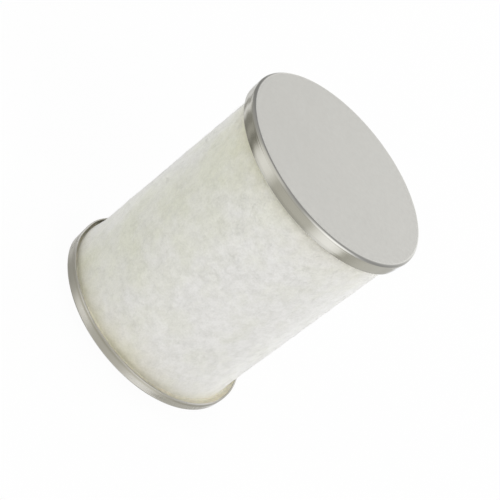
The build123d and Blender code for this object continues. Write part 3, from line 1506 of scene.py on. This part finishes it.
    def open(self) -> bpy.types.Object:
        """Makes the ring of resin in the open cap.

        Returns:
            The new piece.
        """
        face, thickness = Extent.of("open_end_cap").foot, self.sheet.thickness
        start = (self.mouth + self.mouth_gap, thickness)
        under = line(start, (self.flat_end, thickness), self.ring_under_points)
        over = line((self.felt, self.foot), (self.mouth, self.foot), self.ring_over_points)[1:]
        collar = [[self.mouth, self.foot], [self.mouth, self.sheet.corner]]
        profile = np.concatenate([under, self.lip_profile(), over, collar])
        relief = self.relief(face, End.OPEN, self.open_uneven, self.open_seed, OPEN_CAP_BULGES)
        return self.made("open_end_potting", "open_end_resin", face, End.OPEN, profile, relief)

    def closed(self) -> bpy.types.Object:
        """Makes the disc of resin in the closed cap.

        Returns:
            The new piece.
        """
        face, thickness = Extent.of("closed_end_cap").top, self.sheet.thickness
        under = line((0, thickness), (self.flat_end, thickness), self.disc_points)
        over = line((self.felt, self.foot), (0, self.foot), self.disc_points)[1:]
        profile = np.concatenate([under, self.lip_profile(), over, [[0, self.foot]]])
        relief = self.relief(face, End.CLOSED, self.closed_uneven, self.closed_seed)
        return self.made("closed_end_potting", "closed_end_resin", face, End.CLOSED, profile, relief)


@dataclass
class SlottedTube:
    """A thin metal tube with staggered upright slots whose ends are round."""

    node: str
    name: str
    columns: int
    thickness: float
    slot_width: float
    slot_length: float
    bridge: float = 4.0 * MM
    plain_end: float = 4.5 * MM
    side_steps: int = 16
    end_steps: int = 6
    rings: int = 3
    plain_rows: int = 4

    def __post_init__(self) -> None:
        """Works out the rows of slots that fit between the plain ends."""
        self.extent = Extent.of(self.node)
        span = self.extent.top - self.extent.foot
        self.rise = (self.slot_length + self.bridge) / 2
        self.row_count = 1 + math.floor((span - 2 * self.plain_end - self.slot_length) / self.rise)
        self.first = (self.extent.foot + self.extent.top - (self.row_count - 1) * self.rise) / 2
        self.middle = self.extent.radius - self.thickness / 2
        self.half_strip = TURN * self.middle / self.columns / 4

    def placed(self, across: Array, up: Array, radius: float, strip: int) -> Array:
        """Wraps flat places round the tube: the angle is the way across divided by the mean radius."""
        angle = TURN * strip / self.columns / 2 + across / self.middle
        return round_axis(-math.pi / 2 - angle, radius, up)

    def cell(self) -> Array:
        """The flat places of one cell: its border, and rings that close in on the slot.

        Each border point has a partner on the slot: level with it where the slot is straight, and on the
        spoke through it from the middle of the round end elsewhere. The rings divide the way between them.

        Returns:
            An array of rings, points round the ring, and (across, up).
        """
        side = np.linspace(-1, 1, self.side_steps, endpoint=False)
        end = np.linspace(-1, 1, self.end_steps, endpoint=False)
        border = np.concatenate([
            np.stack([end, -1 + 0 * end], -1),
            np.stack([1 + 0 * side, side], -1),
            np.stack([-end, 1 + 0 * end], -1),
            np.stack([-1 + 0 * side, -side], -1),
        ])
        half_width, half_length = self.slot_width / 2, self.slot_length / 2
        up = border[:, 1] * half_length
        centre = np.clip(up, half_width - half_length, half_length - half_width)
        spoke = np.stack([border[:, 0] * half_width, up - centre], -1)
        spoke *= half_width / np.linalg.norm(spoke, axis=-1, keepdims=True)
        slot = spoke + np.stack([0 * centre, centre], -1)
        outline = border * (self.half_strip, self.rise)
        way = np.linspace(0, 1, self.rings + 1)[:, None, None]
        return outline + (slot - outline) * way

    def slotted(self, strip: int, height: float) -> Shell:
        """One cell of both walls and the sides of its slot.

        Args:
            strip: Number of the strip, counted round the tube.
            height: Height of the slot's middle.

        Returns:
            The cell, open at its border.
        """
        across, up = np.moveaxis(self.cell(), -1, 0)
        inside = self.extent.radius - self.thickness
        outer = self.placed(across, up + height, self.extent.radius, strip)
        inner = self.placed(across[::-1], up[::-1] + height, inside, strip)
        points = np.concatenate([outer, inner])
        return Shell.of_quads(points, grid_faces(*points.shape[:2], False, True))

    def plain(self, strip: int, heights: Array, at_top: bool) -> Shell:
        """A plain end of a strip: up one wall, over the tube's end and down the other wall.

        Args:
            strip: Number of the strip, counted round the tube.
            heights: Heights of its rows, from the lowest up.
            at_top: Whether it is the tube's upper end.

        Returns:
            The plain end, open where the cells join it.
        """
        across = np.linspace(-self.half_strip, self.half_strip, self.end_steps + 1)[None, :]
        inside = self.extent.radius - self.thickness
        outer = self.placed(across, heights[:, None], self.extent.radius, strip)
        inner = self.placed(across, heights[::-1, None], inside, strip)
        points = np.concatenate([outer, inner] if at_top else [inner, outer])
        return Shell.of_quads(points, grid_faces(*points.shape[:2], False, False))

    def build(self, material: bpy.types.Material) -> bpy.types.Object:
        """Makes the tube: strips of cells, even strips with the even rows, closed by plain ends.

        Args:
            material: The finish.

        Returns:
            The new piece.
        """
        step = 2 * self.rise / self.side_steps
        lowest = self.first - self.rise
        highest = self.first + self.row_count * self.rise
        foot = np.linspace(self.extent.foot, lowest, self.plain_rows)
        top = np.linspace(highest, self.extent.top, self.plain_rows)
        half = step * np.arange(1, self.side_steps // 2 + 1)
        parts: list[Shell] = []
        for strip in range(2 * self.columns):
            rows = range(strip % 2, self.row_count, 2)
            starts_low = rows[0] == 0
            ends_high = rows[-1] == self.row_count - 1
            below = foot if starts_low else np.concatenate([foot, lowest + half])
            above = top if ends_high else np.concatenate([(highest - half)[::-1], top])
            parts.append(self.plain(strip, below, False))
            parts.append(self.plain(strip, above, True))
            parts.extend(self.slotted(strip, self.first + row * self.rise) for row in rows)
        piece = Shell.gathered(parts).welded().outward().made(self.name)
        return settle(piece, Slot.TUBE, material, self.node)


@dataclass
class PleatedMedium:
    """The filter medium: one sheet folded into a ring of knife pleats with rounded folds."""

    pleats: int = 32
    thickness: float = 0.7 * MM
    crown_width: float = 1.7 * MM
    root_width: float = 1.3 * MM
    inside: float = 14.15 * MM
    rounding: float = 0.6 * MM
    corner_points: int = 6
    rows: int = 16
    sharp: float = 60.0
    waver: float = 0.05 * MM
    waver_clouds: Clouds = Clouds(4 * MM, 61)
    held_band: Pair = (1 * MM, 3 * MM)

    def corners(self, extent: Extent) -> Array:
        """Corners of the sheet's middle line, four for each pleat, before they are rounded.

        Args:
            extent: How far the medium reaches.

        Returns:
            An array of (x, y).
        """
        crown = extent.radius - self.thickness / 2
        root = self.inside + self.thickness / 2
        half = math.pi / self.pleats
        half_root, half_crown = self.root_width / 2, self.crown_width / 2
        at_root, root_turn = math.hypot(root, half_root), math.atan2(half_root, root)
        at_crown, crown_turn = math.hypot(crown, half_crown), math.atan2(half_crown, crown)
        radius = np.tile([at_root, at_crown, at_crown, at_root], self.pleats)
        turns = np.array([root_turn - half, -crown_turn, crown_turn, half - root_turn])
        angle = (turns + TURN / self.pleats * np.arange(self.pleats)[:, None]).ravel()
        return np.stack([radius * np.cos(angle), radius * np.sin(angle)], -1)

    def middle_line(self, extent: Extent) -> Array:
        """The corners rounded: each becomes the curve (1-t)^2 A + 2t(1-t) C + t^2 B through its corner C.

        A and B lie on the two sides that meet there, the rounding away from the corner.

        Args:
            extent: How far the medium reaches.

        Returns:
            An array of (x, y).
        """
        corner = self.corners(extent)
        before, after = np.roll(corner, 1, 0) - corner, np.roll(corner, -1, 0) - corner
        before = corner + before * self.rounding / np.linalg.norm(before, axis=-1, keepdims=True)
        after = corner + after * self.rounding / np.linalg.norm(after, axis=-1, keepdims=True)
        t = np.linspace(0, 1, self.corner_points)[None, :, None]
        curve = (1 - t) ** 2 * before[:, None] + 2 * t * (1 - t) * corner[:, None] + t ** 2 * after[:, None]
        return curve.reshape(-1, 2)

    def build(self) -> bpy.types.Object:
        """Makes the sheet: its middle line carried up the axis, half its thickness to either side.

        Between the bands where the two tubes hold the folds, the sheet wavers by soft random relief.

        Returns:
            The new piece.
        """
        extent = Extent.of("pleated_media")
        path = self.middle_line(extent)
        ahead = np.roll(path, -1, 0) - np.roll(path, 1, 0)
        ahead /= np.linalg.norm(ahead, axis=-1, keepdims=True)
        normal = np.stack([ahead[:, 1], -ahead[:, 0]], -1)
        height = np.linspace(extent.foot, extent.top, self.rows)[:, None]
        level = np.broadcast_to(path, (self.rows, *path.shape))
        places = np.concatenate([level, np.broadcast_to(height[..., None], (*level.shape[:2], 1))], -1)
        waver = self.waver * self.waver_clouds.at(places)[..., None]
        radius = np.linalg.norm(level, axis=-1, keepdims=True)
        near, far = self.held_band
        free = smooth_step(self.inside + near, self.inside + far, radius)
        free = free * (1 - smooth_step(extent.radius - far, extent.radius - near, radius))
        sides = []
        for side in (1, -1):
            flat = level + normal * (side * self.thickness / 2 + waver * free)
            sides.append(np.concatenate([flat, places[..., 2:]], -1)[::side])
        points = np.concatenate(sides)
        shell = Shell.of_quads(points, grid_faces(*points.shape[:2], True, True)).outward()
        piece = shell.made("pleated_medium", self.sharp)
        length = float(np.linalg.norm(np.roll(path, -1, 0) - path, axis=-1).sum())
        settle(piece, Slot.MEDIUM, FilterPaper().material(), "pleated_media")
        log.info("medium: %.0f mm of sheet in %d pleats", length / MM, self.pleats)
        return piece


@dataclass(frozen=True)
class SoftLamp:
    """A round soft lamp, placed by its azimuth and elevation in degrees."""

    name: str
    azimuth: float
    elevation: float
    distance: float
    size: float
    power: float

    def hang(self, middle: Vector) -> None:
        """Hangs the lamp; the metal mirrors the panels instead, so glossy rays don't see it.

        Args:
            middle: The place that it is aimed at and its distance is measured from.
        """
        lamp = bpy.data.lights.new(self.name, "AREA")
        lamp.shape = "DISK"
        lamp.size = self.size
        lamp.energy = self.power
        holder = bpy.data.objects.new(self.name, lamp)
        around, above = math.radians(self.azimuth), math.radians(self.elevation)
        ray = Vector(round_axis(np.array(around), math.cos(above), math.sin(above)) * self.distance)
        holder.location = middle + ray
        holder.rotation_mode = "QUATERNION"
        holder.rotation_quaternion = ray.to_track_quat("Z", "Y")
        holder.visible_glossy = False
        bpy.context.scene.collection.objects.link(holder)


@dataclass
class Studio:
    """A plain pale room: white for the camera, soft for the matt surfaces, with panels for the metal."""

    focal: float = 145.75
    sensor: float = 36.0
    clip: Pair = (0.01, 20)
    eye: Point = (0.003024, -0.465846, 0.303211)
    right: Point = (0.61398, 0.38844, 0.68698)
    up: Point = (-0.78911, 0.30151, 0.53491)
    back: Point = (0.00067, -0.87068, 0.49176)
    ambient: float = 0.575
    floor_size: float = 3.0
    floor_white: float = 0.96
    floor_colour: Colour = (0.9, 0.9, 0.895)
    low: Panels = Panels((
        (-180, 1.15), (-158, 1.22), (-151, 0.68), (-146, 0.65), (-135, 0.66), (-128, 0.72), (-100, 0.70),
        (-78, 0.53), (-73, 0.66), (-67, 1.14), (-56, 1.28), (-42, 1.22), (-34, 1.00),
        (-27, 0.69), (24, 0.60), (37, 1.04), (50, 1.12), (62, 1.03), (68, 0.76), (73, 0.36),
        (80, 0.23), (90, 0.50), (100, 0.32), (111, 0.33), (118, 0.90), (123, 1.06), (129, 0.42),
        (135, 0.41), (141, 0.95), (150, 0.70), (160, 0.76), (168, 1.2),
    ), blue=0.76, blue_gain=0.14, tones=(Bulge(180, 55, 0.12), Bulge(0, 16, -0.05)))
    level: Panels = Panels((
        (-180, 1.33), (-165, 1.22), (-155, 0.93), (-146, 0.70), (-133, 0.53), (-120, 0.45), (-108, 0.41),
        (-95, 0.46), (-84, 0.62), (-76, 0.95), (-70, 1.30), (-57, 1.48), (-45, 1.48), (-30, 1.14),
        (-20, 0.80), (-10, 0.60), (12, 0.60), (22, 0.80), (30, 0.90), (45, 0.95), (60, 0.87), (70, 0.60),
        (84, 0.46), (100, 0.45), (115, 0.40), (130, 0.33), (150, 0.34), (158, 0.50), (168, 1.17),
    ), tones=(Bulge(45, 75, -0.08),))
    upper: Panels = Panels((
        (-180, 1.0), (-161, 0.88), (-148, 0.66), (-125, 0.50), (-103, 0.45), (-85, 0.46), (-70, 0.62),
        (-55, 0.75), (-35, 0.68), (-15, 0.52), (0, 0.48), (18, 0.60), (35, 0.80), (50, 0.85), (64, 0.85),
        (81, 0.57), (100, 0.50), (123, 0.44), (148, 0.34), (161, 0.32), (170, 0.70),
    ), tones=(Bulge(45, 75, -0.05),))
    zenith: Colour = (0.41, 0.408, 0.39)
    below: Colour = BLACK
    level_rise: Pair = (-0.26, -0.10)
    upper_rise: Pair = (0.545, 0.67)
    zenith_rise: Pair = (0.88, 0.95)
    below_rise: Pair = (-0.64, -0.53)
    below_share: float = 0.80
    lamps: tuple[SoftLamp, ...] = (
        SoftLamp("key_lamp", -48, 35, 0.9, 0.6, 2.6),
        SoftLamp("fill_lamp", 55, 25, 0.9, 0.5, 1.32),
        SoftLamp("right_edge_lamp", -143, 12, 0.9, 0.5, 3.1),
        SoftLamp("left_edge_lamp", 143, 12, 0.9, 0.5, 1.85),
    )

    def build(self) -> None:
        """Makes the camera, the floor, the lamps and the world."""
        bpy.context.scene.view_settings.view_transform = "Standard"
        self.place_camera()
        self.lay_floor()
        low, high = CAD_BOX
        for lamp in self.lamps:
            lamp.hang((low + high) / 2)
        self.paint_world()

    def place_camera(self) -> None:
        """Puts the camera at the photograph's place, with its three axes as the columns of its matrix."""
        camera = bpy.data.cameras.new("camera")
        camera.lens = self.focal
        camera.sensor_width = self.sensor
        camera.clip_start, camera.clip_end = self.clip
        holder = bpy.data.objects.new("camera", camera)
        columns = zip(self.right, self.up, self.back, self.eye)
        holder.matrix_world = Matrix([*columns, (0, 0, 0, 1)])
        bpy.context.scene.collection.objects.link(holder)
        bpy.context.scene.camera = holder

    def lay_floor(self) -> None:
        """Lays a pale floor that keeps a soft shadow, looks white to the camera and is clear from below."""
        half = self.floor_size / 2
        corners = np.array([(-half, -half, 0), (half, -half, 0), (half, half, 0), (-half, half, 0)])
        floor = Shell.of_quads(corners, np.array([[0, 1, 2, 3]])).made("studio_floor")
        recipe = Recipe("studio_floor_paint")
        recipe.shade(Base_Color=self.floor_colour, Roughness=1.0, Specular_IOR_Level=0.0)
        white = recipe.add("ShaderNodeEmission", {"Color": WHITE, "Strength": 1.0})
        seen = recipe.add("ShaderNodeLightPath", {}).outputs["Is Camera Ray"]
        share = recipe.sum(seen, self.floor_white, "MULTIPLY")
        mix = recipe.add("ShaderNodeMixShader", {
            0: share, 1: recipe.shader.outputs["BSDF"], 2: white.outputs["Emission"],
        })
        clear = recipe.add("ShaderNodeBsdfTransparent", {})
        below = recipe.add("ShaderNodeNewGeometry", {}).outputs["Backfacing"]
        whole = recipe.add("ShaderNodeMixShader", {
            0: below, 1: mix.outputs["Shader"], 2: clear.outputs["BSDF"],
        })
        recipe.feed(recipe.tree.nodes["Material Output"].inputs["Surface"], whole.outputs["Shader"])
        floor.data.materials.append(recipe.material)
        floor.visible_glossy = False

    def paint_world(self) -> None:
        """Paints the room: panels for glossy rays, plain white for the camera, and a soft grey otherwise.

        The panels are three rings, one above the other, under a plain zenith. Each takes over from the
        one below it as the height of the ray's direction passes through its rise.
        """
        recipe = WorldRecipe()
        room = recipe.ring(self.low)
        for rise, panels in ((self.level_rise, self.level), (self.upper_rise, self.upper)):
            room = recipe.blend(recipe.spread(recipe.height, rise), room, recipe.ring(panels))
        room = recipe.blend(recipe.spread(recipe.height, self.zenith_rise), room, self.zenith)
        above = recipe.spread(recipe.height, self.below_rise, (self.below_share, 1))
        room = recipe.blend(above, self.below, room)
        path = recipe.add("ShaderNodeLightPath", {})
        shiny = recipe.sum(path.outputs["Is Glossy Ray"], path.outputs["Is Transmission Ray"], "MAXIMUM")
        seen = recipe.blend(shiny, (self.ambient,) * 3, room)
        recipe.finish(recipe.blend(path.outputs["Is Camera Ray"], seen, WHITE))


def main() -> None:
    """Builds the studio and each sub-assembly in order."""
    logging.basicConfig(level=logging.INFO, format="%(name)s: %(message)s")
    Studio().build()
    caps = DrawnCaps()
    caps.closed()
    caps.open()
    Gasket().build()
    tube_metal = Stainless("tube_sheet", (0.55, 0.55, 0.54), drawn=0.35).material()
    SlottedTube(
        "outer_liner", "outer_liner_tube", columns=7, thickness=0.8 * MM,
        slot_width=4.5 * MM, slot_length=15.0 * MM,
    ).build(tube_metal)
    SlottedTube(
        "inner_core", "inner_core_tube", columns=6, thickness=0.6 * MM,
        slot_width=3.2 * MM, slot_length=11.0 * MM,
    ).build(tube_metal)
    PleatedMedium().build()
    FeltSleeve().build()
    potting = Potting()
    potting.closed()
    potting.open()


if __name__ == "__main__":
    main()
